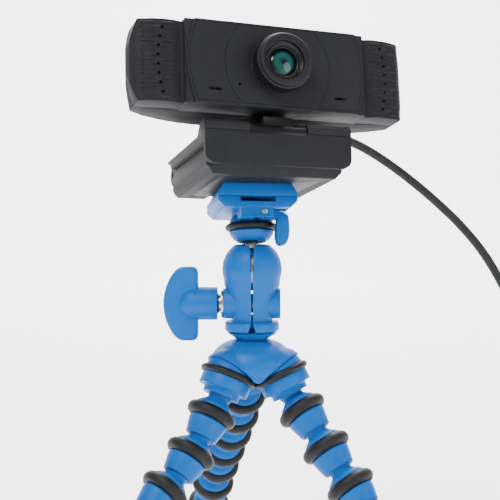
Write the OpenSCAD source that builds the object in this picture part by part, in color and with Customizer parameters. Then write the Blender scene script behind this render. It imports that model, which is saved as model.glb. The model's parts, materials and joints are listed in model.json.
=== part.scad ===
// Webcam on a flexible-leg mini tripod: clip-on webcam, ball head and three
// legs of ball-and-socket links with rubber rings. Origin: on the floor,
// under the axis of the tripod hub. X right, Y back, Z up.

/* [Pose] */
// Ball head tilt, back from vertical
head_tilt = 11.5; // [4:0.5:14]
// Ball head lean, to the right of vertical
head_lean = -1; // [-3:0.5:3]
// Turn of the quick-release head about its stem
head_spin = 10; // [0:1:20]
// Turn of the webcam clip on the quick-release plate
clip_yaw = 8; // [0:1:20]
// Webcam tilt on its clip, back from level
cam_tilt = 2.5; // [0:0.5:4]
// Turn of the webcam on its turret
cam_pan = 2; // [-10:1:10]
// Turn of the tripod hub about the vertical
hub_yaw = 10; // [6:1:14]
socket_turn = hub_yaw - 10;

/* [Legs] */
// Height of the hub top above the floor
hub_h = 98.5; // [97.5:0.5:99.5]
// Distance between the ball joints of a leg
link_pitch = 16; // [15.8:0.1:16.2]
// Radius of the ball of a leg joint
leg_ball_r = 4.7; // [4.5:0.1:4.7]
// Radius of the socket of a leg joint
leg_socket_r = 5; // [5:0.05:5.1]
// Radius of a rubber leg ring, to the middle of its cord
ring_mid_r = 6.9; // [6.7:0.1:7]
// Radius of the cord of a rubber leg ring
ring_cord_r = 2.35; // [2.2:0.05:2.35]

/* [Ball head] */
// Height of the ball centre above the hub top
ball_z = 26; // [25.8:0.1:26.2]
// Radius of the ball
ball_r = 8; // [7.8:0.1:8]
// Outer radius of the clamp around the ball
clamp_r = 11; // [10.8:0.1:11.2]
// Height of the clamp knob above the hub top
knob_z = 13.3; // [13.2:0.1:13.4]
// Radius of the clamp bolt
bolt_r = 3.6; // [3:0.1:3.6]

/* [Quick release] */
// Width of the quick-release plate at its widest
plate_w = 28.8; // [28:0.2:30]
// Depth of the quick-release plate
plate_d = 30.6; // [30:0.2:31]

/* [Clip] */
// Width of the lower jaw
jaw_w = 50; // [48:0.5:50]
// Width of the upper clip plate
lip_w = 53.4; // [53:0.2:55]

/* [Webcam] */
// Width of the webcam body
bar_w = 104; // [102:1:106]
// Height of the webcam body
bar_h = 30; // [29.6:0.1:30.4]
// Outer radius of the focus ring
focus_r = 10.2; // [10:0.1:10.4]
// Radius of the front lens
glass_r = 5; // [4.6:0.1:5.2]

/* [Cable] */
// Diameter of the USB cable
cable_d = 3.6; // [3.4:0.1:3.6]

/* [Hidden] */
LEGS = ["left", "right", "rear"];
LINK_NODES = [for (leg = LEGS, i = [1:7]) i < 7 ? str(leg, "_leg_link_", i) : str(leg, "_leg_foot")];

$fn = 64;
blue = "#1f78d1";
black = "#1b1b1d";
graphite = "#2b2d31";
steel = "#c8cacc";

// Clearance of a running fit and of two faces that pass each other
run_gap = 0.05;
pass_gap = 0.3;

// Leg joints: place of a leg's first ball, and its links' splay and bearing
first_ball_r = 14.5;
first_ball_drop = 18.5;
socket_splay = 28;
socket_bearing = [220, 340, 100];
link_bearing = [[222, 223, 221, 220, 220, 220, 220],
                [325, 322, 321, 321, 321, 321, 321],
                [101, 102, 103, 103, 103, 103, 103]];
upper_splay = [[34, 41, 50, 54, 54], [41, 40, 42, 51, 55], [50, 52, 52, 52, 50]];
foot_splay = [45, 47, 36];
foot_reach = 14;
sole_height = 6.6;
foot_ball_r = 7;

// Ball head
stem_r = 2.4;
seat_gap_r = clamp_r + pass_gap;
seat_top = 20.6;
plate_split = 24.6;
plate_top = 29.2;
neck_w = 11.8;
lever_pin_at = [2.6, 19.4];
pin_r = 1.1;

// Clip
jaw_front = -30.6;
jaw_back = 21.4;
jaw_h = 9.6;
jaw_wall = 1.6;
plate_under = 10;
plate_thick = 3.6;
lip_front = -33.6;
lip_low = 2.6;
lip_high = 18;
lip_t = 2.4;
jaw_pin_at = [19, 8.4];
jaw_barrel_r = 4;
barrel_at = [-29.8, 14.4];
barrel_r = 3.5;
barrel_w = 21;
hinge_pin_r = 1.2;
tripod_nut_r = 5;
screw_r = 3.1;

// Webcam: its frame's origin is on the turret axis, at mid height
turret_back = 9;
bar_above_barrel = 23.6;
turret_r = 6.5;
turret_gap = 0.6;
bar_front = -11.4;
bar_back = 12.9;
belly = 0.4;
belly_back = 10;
panel_w = 66;
panel_t = 1;
panel_arc_r = 40;
barrel_out_r = 7.7;
wall = 1.6;
split_y = -1;
lens_hole_r = 8;
gland_at = [17, -6];
gland_len = 14.7;

// Moves children to each part of the head, from the hub up
module at_hub() translate([0, 0, hub_h]) children();
module at_ball() at_hub() translate([0, 0, ball_z]) rotate([-head_tilt, head_lean, 0]) children();
module at_head() at_ball() rotate([0, 0, head_spin]) children();
module at_clip() at_head() translate([0, 0, plate_top]) rotate([0, 0, clip_yaw]) children();
module at_tilt() at_clip() translate([0, barrel_at[0], barrel_at[1]]) rotate([-cam_tilt, 0, 0]) children();
module at_bar() at_tilt() translate([0, turret_back, bar_above_barrel]) rotate([0, 0, cam_pan]) children();

// A solid turned about Z from a list of [radius, height]
module turned(outline) rotate_extrude($fn = 96) polygon(outline);
// A cylinder along X, centred on the origin
module bar_x(r, l) rotate([0, 90, 0]) cylinder(r = r, h = l, center = true);
// A cylinder along Y, centred on the origin
module bar_y(r, l) rotate([90, 0, 0]) cylinder(r = r, h = l, center = true);
// A box with its upright edges rounded, centred in X and Y, standing on Z = 0
module round_box(w, d, h, r) linear_extrude(h) round_rect(w, d, r);
module round_rect(w, d, r) {
    square([w - 2 * r, d], center = true);
    square([w, d - 2 * r], center = true);
    for (x = [-1, 1], y = [-1, 1]) translate([x * (w / 2 - r), y * (d / 2 - r)]) circle(r = r, $fn = 32);
}

// ---- Legs ----
// Unit vector of a link that points down and out
function link_dir(splay, bearing) = [sin(splay) * cos(bearing), sin(splay) * sin(bearing), -cos(splay)];
// Height of a leg's last ball above the floor
function last_ball_z(leg) = foot_reach * cos(foot_splay[leg]) + sole_height;
function drop_of(leg, n) = n == 0 ? 0 : drop_of(leg, n - 1) + link_pitch * cos(upper_splay[leg][n - 1]);
// The sixth link takes up what height is left
function sixth_splay(leg) = acos((hub_h - first_ball_drop - drop_of(leg, 5) - last_ball_z(leg))
        / link_pitch);
function splay_of(leg, i) = i < 5 ? upper_splay[leg][i] : i == 5 ? sixth_splay(leg) : foot_splay[leg];
function first_ball(leg) = [first_ball_r * cos(socket_bearing[leg] + socket_turn),
                            first_ball_r * sin(socket_bearing[leg] + socket_turn),
                            hub_h - first_ball_drop];
function ball_at(leg, i) = i == 0 ? first_ball(leg)
    : ball_at(leg, i - 1) + link_pitch * link_dir(splay_of(leg, i - 1), link_bearing[leg][i - 1]);

module at_link(leg, i) translate(ball_at(leg, i)) rotate([0, 180 - splay_of(leg, i),
        link_bearing[leg][i]]) children();

ring_s = 8.5;
groove_r = 5.2;
groove_half = 2.4;
neck_r = 4;
mouth_s = link_pitch + 1.6;
// Outline of a link from its neck to its ring groove
function link_shoulder() = [[0, 2], [neck_r, 2.2], [neck_r, 3.1], [4.4, 3.7], [5.3, 4.4], [6.2, 5],
    [6.8, 5.6], [7, 6.1], [groove_r, 6.1], [groove_r, ring_s + groove_half]];

module link_body() difference() {
    union() {
        sphere(r = leg_ball_r);
        turned(concat(link_shoulder(), [[7.2, ring_s + groove_half], [7, 12.5], [6.6, 14.6],
            [6.1, 16.4], [5.8, mouth_s], [0, mouth_s]]));
    }
    translate([0, 0, link_pitch]) sphere(r = leg_socket_r);
}

module foot_body() union() {
    sphere(r = leg_ball_r);
    turned(concat(link_shoulder(), [[6.9, ring_s + groove_half], [5.4, 12], [0, 12]]));
}

module link_ring() translate([0, 0, ring_s]) rotate_extrude($fn = 96) intersection() {
    translate([ring_mid_r, 0]) circle(r = ring_cord_r, $fn = 48);
    translate([groove_r, -groove_half]) square([6, 2 * groove_half]);
}

module leg_link(leg, i) {
    color(blue) at_link(leg, i) link_body();
    color(black) at_link(leg, i) link_ring();
}

module leg_foot(leg) {
    color(blue) at_link(leg, 6) difference() {
        foot_body();
        translate([0, 0, foot_reach]) sphere(r = foot_ball_r);
    }
    color(black) at_link(leg, 6) link_ring();
    color(black) difference() {
        at_link(leg, 6) translate([0, 0, foot_reach]) sphere(r = foot_ball_r);
        translate([-200, -200, -20]) cube([400, 400, 20]);
    }
}

// ---- Hub ----
socket_dome_r = 9.2;
socket_dome_s = -6.8;
socket_tier_r = 6.8;
band_r = 1.3;
module at_socket(leg) translate(first_ball(leg))
    rotate([0, 180 - socket_splay, socket_bearing[leg] + socket_turn]) children();

module socket_outer(grow) {
    translate([0, 0, socket_dome_s]) sphere(r = socket_dome_r + grow);
    translate([0, 0, socket_dome_s]) cylinder(r = socket_dome_r + grow, h = -1.3 - socket_dome_s);
    translate([0, 0, -1.4]) cylinder(r = socket_tier_r + grow, h = 2.5);
}

module socket_bands() {
    for (leg = [0:2]) at_socket(leg) translate([0, 0, socket_dome_s]) rotate_extrude($fn = 96)
        translate([socket_dome_r, 0]) circle(r = band_r, $fn = 32);
}

module hub_bolt_solid() {
    translate([0, 0, -12]) cylinder(r = 3.4, h = 3);
    translate([0, 0, -9]) cylinder(r = 2, h = 17);
}

module hub_cap() color(blue) difference() {
    at_hub() turned([[2, 0], [6.4, 0], [10.4, -1.4], [13.4, -3.9], [15, -6.6],
        [15.4, -8.6], [15.2, -12], [13.8, -14.4], [6, -14.4], [6, -5], [2, -5]]);
    for (leg = [0:2]) at_socket(leg) translate([0, 0, socket_dome_s]) {
        sphere(r = socket_dome_r + band_r);
        cylinder(r = socket_dome_r + band_r, h = 12);
    }
}

module hub_sockets() color(blue) difference() {
    union() {
        for (leg = [0:2]) at_socket(leg) socket_outer(0);
        at_hub() translate([0, 0, -14.4]) cylinder(r = 6, h = 9.4);
    }
    socket_bands();
    at_hub() hub_bolt_solid();
    for (leg = [0:2]) at_socket(leg) sphere(r = leg_socket_r);
}

module hub_bands() color(black) socket_bands();
module hub_bolt() color(steel) at_hub() hub_bolt_solid();

disc_top = 3.3;
spigot_r = 4.2;
spigot_head_r = 5.2;
module base_disc() color(blue) at_hub() turned([[2, 0], [5.6, 0], [6, 0.5], [8.8, 2.3], [9.1, 2.7],
    [9.1, 3], [8.8, disc_top], [spigot_r, disc_top], [spigot_r, 6.9], [spigot_head_r, 6.9],
    [spigot_head_r, 8.8], [2, 8.8]]);

// ---- Clamp ----
clamp_top = 35.4;
flange_r = 10;
boss_r = 5.6;
boss_end = 10.4;
slit = 0.6;
module clamp_outside() {
    turned(concat([[0, disc_top + 0.1], [9.6, disc_top + 0.1], [flange_r, 3.9], [flange_r, 6.2], [9.5,
            6.8],
        [7.5, 6.9], [7.5, 8.4], [7.6, 11], [7.9, 13.4], [8.5, 15.6], [9.4, 18], [10.2, 20.2]],
        [for (a = [-18:6:58]) [clamp_r * cos(a), ball_z + clamp_r * sin(a)]], [[0, clamp_top]]));
    translate([0, 0, knob_z]) bar_x(boss_r, 2 * boss_end);
}

module clamp_body() difference() {
    clamp_outside();
    translate([0, 0, ball_z]) sphere(r = ball_r + 0.1);
    translate([0, 0, ball_z]) cylinder(r1 = 0, r2 = 6.6, h = 11.7);
    cylinder(r = spigot_r + pass_gap, h = 8);
    translate([0, 0, 6.9 - pass_gap]) cylinder(r = spigot_head_r + pass_gap, h = 2.5);
    translate([0, 0, knob_z]) bar_x(bolt_r, 40);
    translate([boss_end - 1.4, 0, knob_z]) rotate([0, 90, 0]) cylinder(r = 4.4, h = 3);
    translate([-slit / 2, -20, 0]) cube([slit, 40, 50]);
    translate([-slit, -20, ball_z]) cube([2 * slit, 40, 20]);
    translate([-1, -20, clamp_top - 1.5]) cube([2, 40, 5]);
    translate([0, 20, disc_top]) rotate([90, 0, 0]) linear_extrude(40) polygon([[-1.5, 0], [1.5, 0],
            [0, 4.4]]);
}

module clamp_half(side) color(blue) at_hub() intersection() {
    clamp_body();
    translate([side < 0 ? -30 : 0, -30, 0]) cube([30, 60, 60]);
}
module clamp_left() clamp_half(-1);
module clamp_right() clamp_half(1);

bolt_left = -19;
module clamp_bolt() color(steel) at_hub() translate([0, 0, knob_z]) {
    translate([bolt_left, 0, 0]) rotate([0, 90, 0]) cylinder(r = bolt_r, h = boss_end - 1.4 - bolt_left);
    translate([boss_end - 1.4, 0, 0]) rotate([0, 90, 0]) difference() {
        cylinder(r = 4.4, h = 1.2);
        translate([0, 0, 0.4]) cylinder(r = 2, h = 2, $fn = 6);
    }
}

module clamp_washer() color(steel) at_hub() translate([-boss_end - 1, 0, knob_z]) rotate([0, 90, 0])
        difference() {
    cylinder(r = 5.5, h = 1);
    translate([0, 0, -1]) cylinder(r = bolt_r, h = 4);
}

knob_face = -12.7;
knob_wing_in = -19.8;
knob_wing_out = -32.6;
knob_half_h = 13.6;
knob_arc_r = 19.4;
module knob_outline() intersection() {
    translate([knob_wing_out + knob_arc_r, 0]) circle(r = knob_arc_r, $fn = 96);
    translate([knob_wing_in - 20, 0]) round_rect(40, 2 * knob_half_h, 2);
}
module clamp_knob() color(blue) at_hub() translate([0, 0, knob_z]) difference() {
    union() {
        translate([knob_wing_in - 6, 0, 0]) rotate([0, 90, 0]) cylinder(r = 6.1, h = knob_face -
                knob_wing_in + 6);
        translate([0, 3.1, 0]) rotate([90, 0, 0]) linear_extrude(6.2) knob_outline();
    }
    translate([bolt_left - 0.5, 0, 0]) rotate([0, 90, 0]) cylinder(r = bolt_r + run_gap, h = 20);
}

// ---- Ball and head ----
module ball_stem() color(steel) at_ball() {
    sphere(r = ball_r);
    translate([0, 0, 7]) cylinder(r = stem_r, h = 10);
}

oring_z = 15.4;
oring_mid_r = 8.4;
oring_cord_r = 1.25;
module head_seat() color(blue) at_head() difference() {
    union() {
        turned([[0, 9.6], [4.9, 9.8], [6.7, 11], [8, 12.8], [8.2, 13.6], [7.9, 14], [7.3, 14.2],
            [7.3, 16.6], [8.1, 16.8], [8, 17.8], [7, 19.4], [5.9, 20.2], [5.9, seat_top], [0, seat_top]]);
        translate([-neck_w / 2, -13.4, 17.4]) cube([neck_w, 22, 4]);
        translate([0, plate_d / 2, 0]) rotate([90, 0, 0]) linear_extrude(plate_d) polygon([[-12, seat_top],
            [12, seat_top], [plate_w / 2, 22.8], [plate_w / 2, 24.4], [-plate_w / 2, 24.4],
                    [-plate_w / 2, 22.8]]);
    }
    seat_cuts();
}

module seat_cuts() {
    sphere(r = seat_gap_r);
    cylinder(r = stem_r + run_gap, h = 17.2);
    translate([-6.3, -20, 22.6]) cube([12.6, 40, 3]);
    translate([-0.2, -12, 16.6]) cube([20, 5.2, 10]);
    translate([lever_pin_at[0], -6, lever_pin_at[1]]) rotate([90, 0, 0]) cylinder(r = pin_r, h = 10);
    rotate_extrude($fn = 96) translate([oring_mid_r, oring_z]) circle(r = oring_cord_r, $fn = 32);
}

module seat_o_ring() color(black) at_head() rotate_extrude($fn = 96) translate([oring_mid_r, oring_z])
    circle(r = oring_cord_r, $fn = 32);

module qr_lever() color(blue) at_head() translate([0, -7, 0]) rotate([90, 0, 0]) linear_extrude(4.8)
        difference() {
    union() {
        translate(lever_pin_at) circle(r = 2.3);
        polygon([[2.6, 17.1], [2.6, 21.7], [7.2, 20], [10.8, 18.9], [11.8, 17.8], [12, 13], [11.6, 9.6],
            [10.4, 7.6], [8.8, 7.4], [7.6, 8.4], [7.2, 10], [7.4, 15.2], [7.8, 17.1]]);
    }
    translate(lever_pin_at) circle(r = pin_r + run_gap);
}

module lever_pin() color(steel) at_head() translate([lever_pin_at[0], -6, lever_pin_at[1]])
    rotate([90, 0, 0]) cylinder(r = pin_r, h = 7.5);

module qr_plate() color(blue) at_head() difference() {
    union() {
        translate([0, plate_d / 2, 0]) rotate([90, 0, 0]) linear_extrude(plate_d)
                polygon([[-plate_w / 2, plate_split],
            [plate_w / 2, plate_split], [plate_w / 2, 26], [12.4, plate_top], [-12.4, plate_top],
                    [-plate_w / 2, 26]]);
        translate([-6, -5, 22.9]) cube([12, plate_d / 2 + 5, 2]);
    }
    translate([0, 0, 20]) cylinder(r = 6.5, h = 6.8);
    cylinder(r = screw_r, h = 40);
}

module camera_screw() color(steel) at_head() {
    translate([0, 0, 25]) cylinder(r = 6.3, h = 1.8);
    translate([0, 0, 26.8]) cylinder(r = screw_r, h = plate_top + 6.4 - 26.8);
}

// ---- Clip ----
module jaw_outline() intersection() {
    translate([0, (jaw_front + jaw_back) / 2, 0]) round_box(jaw_w, jaw_back - jaw_front, jaw_h, 3);
    translate([0, 40, 0]) rotate([90, 0, 0]) linear_extrude(90) polygon([[-jaw_w / 2 + 2.4, 0],
            [jaw_w / 2 - 2.4, 0],
        [jaw_w / 2, 2.8], [jaw_w / 2, 20], [-jaw_w / 2, 20], [-jaw_w / 2, 2.8]]);
    translate([-40, 0, 0]) rotate([90, 0, 90]) linear_extrude(80) polygon([[jaw_front + 2.4, 0],
            [jaw_back - 1.4, 0],
        [jaw_back, 1.6], [jaw_back, 20], [jaw_front, 20], [jaw_front, 2.8]]);
}

pad_w = 37;
pad_d = 38;
pad_t = 0.9;
pad_y = -5;
module clip_jaw() color(graphite) at_clip() difference() {
    union() {
        difference() {
            jaw_outline();
            translate([0, (jaw_front + jaw_back) / 2, 2.4])
                round_box(jaw_w - 2 * jaw_wall, jaw_back - jaw_front - 2 * jaw_wall, jaw_h, 2);
        }
        cylinder(r = tripod_nut_r + 1.6, h = 7.6);
        for (side = [-1, 1]) translate([side * 18.5, jaw_pin_at[0], jaw_pin_at[1]]) bar_x(jaw_barrel_r,
                12.6);
    }
    translate([0, pad_y, -1]) round_box(pad_w, pad_d, 1 + pad_t, 2.5);
    translate([0, 0, 1.4]) cylinder(r = tripod_nut_r, h = 10);
    cylinder(r = screw_r, h = 3);
    translate([-12.2, 14.2, -1]) cube([24.4, 20, 20]);
    translate([0, jaw_pin_at[0], jaw_pin_at[1]]) bar_x(hinge_pin_r + run_gap, 60);
}

module jaw_pad() color(black) at_clip() difference() {
    translate([0, pad_y, 0]) round_box(pad_w, pad_d, pad_t, 2.5);
    translate([0, 0, -1]) cylinder(r = screw_r, h = 4);
}

module tripod_nut() color("#b8963e") at_clip() difference() {
    translate([0, 0, 1.4]) cylinder(r = tripod_nut_r, h = 6.2);
    cylinder(r = screw_r, h = 10);
}

module plate_side() {
    polygon([[19.6, plate_under], [19.6, plate_under + plate_thick], [-23, plate_under + plate_thick],
        [-26, lip_high - 1], [-28, lip_high], [-32, lip_high], [lip_front, lip_high - 1.4], [lip_front,
                lip_low],
        [lip_front + lip_t, lip_low], [lip_front + lip_t, plate_under]]);
}

module clip_plate() color(graphite) at_clip() difference() {
    union() {
        intersection() {
            translate([-lip_w / 2, 0, 0]) rotate([90, 0, 90]) linear_extrude(lip_w) plate_side();
            translate([0, 50, 0]) rotate([90, 0, 0]) linear_extrude(100) translate([0, lip_low + 20])
                round_rect(lip_w, 40, 3.6);
        }
        translate([0, jaw_pin_at[0], jaw_pin_at[1]]) bar_x(jaw_barrel_r, 23.6);
        translate([-11.8, jaw_pin_at[0] - 4, jaw_pin_at[1]]) cube([23.6, 3.2, plate_under -
                jaw_pin_at[1] + 1]);
    }
    translate([0, jaw_pin_at[0], jaw_pin_at[1]]) bar_x(hinge_pin_r, 60);
    for (side = [-1, 1]) translate([side * 21.8, jaw_pin_at[0], jaw_pin_at[1]]) bar_x(jaw_barrel_r +
            0.4, 20);
    translate([0, barrel_at[0], barrel_at[1]]) bar_x(barrel_r + 0.4, barrel_w);
    translate([-barrel_w / 2, barrel_at[0] - 6, barrel_at[1]]) cube([barrel_w, 12, 8]);
    translate([0, barrel_at[0], barrel_at[1]]) bar_x(hinge_pin_r, 46);
    for (side = [-1, 1]) translate([side * 18.7 - 8.2, lip_front - 1, lip_high - 4]) cube([16.4, 1.3,
            0.3]);
}

module hinge_pins() color(steel) at_clip() {
    translate([0, jaw_pin_at[0], jaw_pin_at[1]]) bar_x(hinge_pin_r, 48);
    translate([0, barrel_at[0], barrel_at[1]]) bar_x(hinge_pin_r, 46);
}

turret_base = 3;
module tilt_turret() color(black) at_tilt() difference() {
    union() {
        bar_x(barrel_r, barrel_w - 0.4);
        translate([-5.4, 0, turret_base]) cube([10.8, turret_back, 2.4]);
        translate([-5.4, -2.5, 0]) cube([10.8, 4.8, turret_base + 2.4]);
        translate([0, turret_back, turret_base]) cylinder(r = turret_r, h = bar_above_barrel -
                bar_h / 2 - 0.2 - turret_base);
        translate([0, turret_back, turret_base]) cylinder(r = 2.5, h = 9.2);
        translate([0, turret_back, bar_above_barrel - bar_h / 2 + wall + 0.2]) cylinder(r = 4.2, h = 1.8);
    }
    bar_x(hinge_pin_r + run_gap, 60);
}

// ---- Webcam ----
wing_drop = 0.4;
wing_x = panel_w / 2 + 0.4;
end_bulge = 2.8;
function mirrored(half) = concat(half, [for (i = [len(half) - 1:-1:0]) [-half[i][0], half[i][1]]]);
// Outline from above, right half from back to front
function bar_plan(inset) = mirrored([[24, bar_back - inset], [36, bar_back - 1.5 - inset], [44, 8.8 -
        inset],
    [bar_w / 2 - 2.6 - inset, 4.6 - inset / 2], [bar_w / 2 - 0.6 - inset, 1.4], [bar_w / 2 - inset, -1.5],
    [bar_w / 2 - 0.8 - inset, -4.6 + inset / 2], [bar_w / 2 - 3.2 - inset / 2, -7.6 + inset], [44,
            -9.2 + inset],
    [39.4, -9.7 + inset], [37.2, -9.6 + inset], [35.4, -9.1 + inset], [34.2, -8.9 + inset],
    [wing_x + 0.2 - inset, -9.3 + inset], [wing_x - inset, bar_front + inset]]);
// Outline from the front, with the belly that hangs below the rear half
module bar_front_outline(inset, drop) {
    square([2 * wing_x, bar_h - 2 * inset], center = true);
    polygon([[-45, 0], [-45, wing_drop - bar_h / 2], [-29, -bar_h / 2 - drop], [29, -bar_h / 2 - drop],
        [45, wing_drop - bar_h / 2], [45, 0]]);
    polygon([for (side = [-1, 1], t = [-1:0.2:1])
        [side * (bar_w / 2 - end_bulge * t * t - inset), -side * t * (bar_h / 2 - wing_drop - inset)]]);
}
module bar_solid(inset, drop) intersection() {
    translate([0, 0, -bar_h / 2 - drop + inset]) linear_extrude(bar_h + drop - 2 * inset)
            polygon(bar_plan(inset));
    translate([0, 40, 0]) rotate([90, 0, 0]) linear_extrude(80) bar_front_outline(inset, drop);
    translate([-60, 0, 0]) rotate([90, 0, 90]) linear_extrude(120) polygon([[-20, 20], [-20, -bar_h / 2],
        [split_y, -bar_h / 2], [belly_back, -bar_h / 2 - drop], [30, -bar_h / 2 - drop], [30, 20]]);
}

screw_x = 30;
screw_seat = 9.6;
mic_at = [22.7, -9.8];
pinhole_at = [14.3, -7.4];
module mic_slots() for (side = [-1, 1]) translate([side * mic_at[0] - 1.7, -15, mic_at[1] - 0.5])
        cube([3.4, 8, 1]);
module pinholes() for (side = [-1, 1]) translate([side * pinhole_at[0], -9, pinhole_at[1]]) bar_y(0.5, 12);

// Round seat in the belly for the turret, and the hole for its post
module turret_hole() {
    translate([0, 0, -20]) cylinder(r = 2.8, h = 12);
    translate([0, 0, -20]) cylinder(r = turret_r + turret_gap, h = 20 - bar_h / 2);
}

module front_bezel() color(graphite) at_bar() difference() {
    union() {
        difference() {
            bar_solid(0, 0);
            bar_solid(wall, 0);
        }
        for (side = [-1, 1]) translate([side * screw_x, -6.6, 0]) bar_y(3.2, 6.8);
    }
    translate([-80, split_y, -40]) cube([160, 40, 80]);
    translate([0, -10, 0]) bar_y(lens_hole_r, 10);
    turret_hole();
    for (side = [-1, 1]) translate([side * screw_x, -4, 0]) bar_y(1.1, 6);
    mic_slots();
    pinholes();
    for (side = [-1, 1], i = [-3.5:3.5]) translate([side * (42.6 - 0.12 * i * i), -8, i * 3.3])
            bar_y(0.65, 8);
}

module panel_outline() intersection() {
    translate([-panel_w, -bar_h / 2]) square([2 * panel_w, bar_h]);
    translate([panel_w / 2 - panel_arc_r, 0]) circle(r = panel_arc_r, $fn = 128);
    translate([panel_arc_r - panel_w / 2, 0]) circle(r = panel_arc_r, $fn = 128);
}
module face_panel() color(graphite) at_bar() difference() {
    translate([0, bar_front, 0]) rotate([90, 0, 0]) linear_extrude(panel_t) difference() {
        panel_outline();
        circle(r = lens_hole_r);
    }
    mic_slots();
    pinholes();
}

module rear_shell() color(graphite) at_bar() difference() {
    union() {
        difference() {
            bar_solid(0, belly);
            bar_solid(wall, 0);
        }
        for (side = [-1, 1]) translate([side * screw_x, split_y, 0]) rotate([-90, 0, 0])
            cylinder(r = 3.2, h = screw_seat + 1 - split_y);
    }
    translate([-80, split_y - 40, -40]) cube([160, 40, 80]);
    turret_hole();
    translate([gland_at[0], bar_back, gland_at[1]]) bar_y(3.4, 8);
    for (side = [-1, 1]) translate([side * screw_x, screw_seat, 0]) {
        bar_y(1.1, 30);
        translate([0, 5, 0]) bar_y(2.2, 10);
    }
}

module at_lens() translate([0, bar_front - panel_t, 0]) rotate([90, 0, 0]) children();
module focus_ring() color(black) at_bar() at_lens() turned([[barrel_out_r + 0.1, 0.3], [focus_r - 0.4,
        0.3],
    [focus_r, 0.8], [focus_r, 6.6], [9.7, 7.2], [9.5, 8.2], [9, 8.8], [8.4, 8.7], [7.6, 7.6], [7.1, 7.4],
    [7.1, 6.8], [barrel_out_r + 0.1, 6.6]]);
module lens_barrel() color(black) at_bar() at_lens() turned([[5.4, -6.6], [barrel_out_r, -6.6],
        [barrel_out_r, 6.4],
    [6.8, 6.4], [6.2, 5.6], [glass_r, 5.4], [glass_r, 3], [4.2, 3], [4.2, -4], [5.4, -4]]);
module lens_glass() color("#1d5c58") at_bar() at_lens() intersection() {
    translate([0, 0, 3]) cylinder(r = glass_r, h = 4);
    translate([0, 0, 5.8 - 9]) sphere(r = 9);
}
module main_board() color("#1d6a3a") at_bar() {
    translate([-25, -5.8, -11]) cube([50, 1.4, 24]);
    translate([-3, -7.2, -3]) cube([6, 1.4, 6]);
    translate([8, -4.4, -4]) cube([9, 1.2, 9]);
}
module microphones() color(steel) at_bar() for (side = [-1, 1])
    translate([side * mic_at[0], -8.2, mic_at[1]]) bar_y(1.4, 3);
module status_led() color("#3d8cff") at_bar() translate([pinhole_at[0], -10.6, pinhole_at[1]])
        bar_y(0.5, 3.4);
module case_screws() color(steel) at_bar() for (side = [-1, 1]) translate([side * screw_x, 0, 0]) {
    translate([0, screw_seat - 8.1, 0]) bar_y(1.1, 16.2);
    translate([0, screw_seat + 0.6, 0]) bar_y(2.2, 1.2);
}
module cable_gland() color(black) at_bar() translate([gland_at[0], bar_back - wall, gland_at[1]])
        rotate([-90, 0, 0]) {
    translate([0, 0, -1]) cylinder(r = 4.4, h = 1);
    cylinder(r = 3.4, h = wall + 1);
    translate([0, 0, wall + 1]) cylinder(r1 = 3.2, r2 = cable_d / 2 + 0.4, h = gland_len - 1);
}

// ---- Cable ----
// Route of the cable, from its gland to the coil on the floor
cable_route = [[11.7, 24.3, 180.6], [12.4, 31.4, 178.8], [17.6, 37.2, 177.6],
    [26, 40.6, 176.4], [36, 43, 174], [46, 45, 169.6], [56, 46.4, 163.4], [66, 47.4, 156], [76, 48.2,
            147.6],
    [86, 48.4, 138], [95, 47.8, 127], [102.6, 46.4, 114], [108.6, 44, 99], [112.6, 40.8, 83], [115,
            36.8, 66],
    [116.1, 32.6, 49], [116.5, 29.6, 35], [116.4, 30.6, 23.2], [116.1, 36.2, 15.6], [116, 43, 13.5]];
coil_at = [95, 54];
coil_mid_r = 21;
coil_turns_wide = 3;
coil_turns_high = 4;
tie_t = 0.6;
tie_w = 7;
plug_line = coil_at[0] - coil_mid_r - cable_d;
plug_front = coil_at[1] - 58;

function unit(v) = v / norm(v);
function lerp3(a, b, c, d, t) = 0.5 * (2 * b + (c - a) * t + (2 * a - 5 * b + 4 * c - d) * t * t
    + (3 * b - a - 3 * c + d) * t * t * t);
// A smooth curve through the route's points, with one more point between each two
function smooth_route(p) = let (n = len(p)) concat([for (i = [0:n - 2], t = [0, 0.5])
    lerp3(p[max(i - 1, 0)], p[i], p[i + 1], p[min(i + 2, n - 1)], t)], [p[n - 1]]);
sweep_sides = 8;
sweep_ref = unit([0.5, 0.3, 0.8]);
module swept_tube(route, r) {
    n = len(route);
    rings = [for (i = [0:n - 1]) let (
            along = unit(route[min(i + 1, n - 1)] - route[max(i - 1, 0)]),
            side = unit(cross(along, sweep_ref)),
            up = cross(side, along))
        each [for (k = [0:sweep_sides - 1]) let (a = 360 * k / sweep_sides)
            route[i] + r * (cos(a) * side + sin(a) * up)]];
    walls = [for (i = [0:n - 2], k = [0:sweep_sides - 1]) let (m = (k + 1) % sweep_sides)
        [i * sweep_sides + k, i * sweep_sides + m, (i + 1) * sweep_sides + m, (i + 1) * sweep_sides + k]];
    ends = [[for (k = [sweep_sides - 1:-1:0]) k], [for (k = [0:sweep_sides - 1]) (n - 1) *
            sweep_sides + k]];
    polyhedron(points = rings, faces = concat(walls, ends), convexity = 4);
}

module usb_cable_run() color(black) swept_tube(smooth_route(cable_route), cable_d / 2);

coil_half_w = coil_turns_wide * cable_d / 2;
coil_h = coil_turns_high * cable_d + tie_t;
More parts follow.
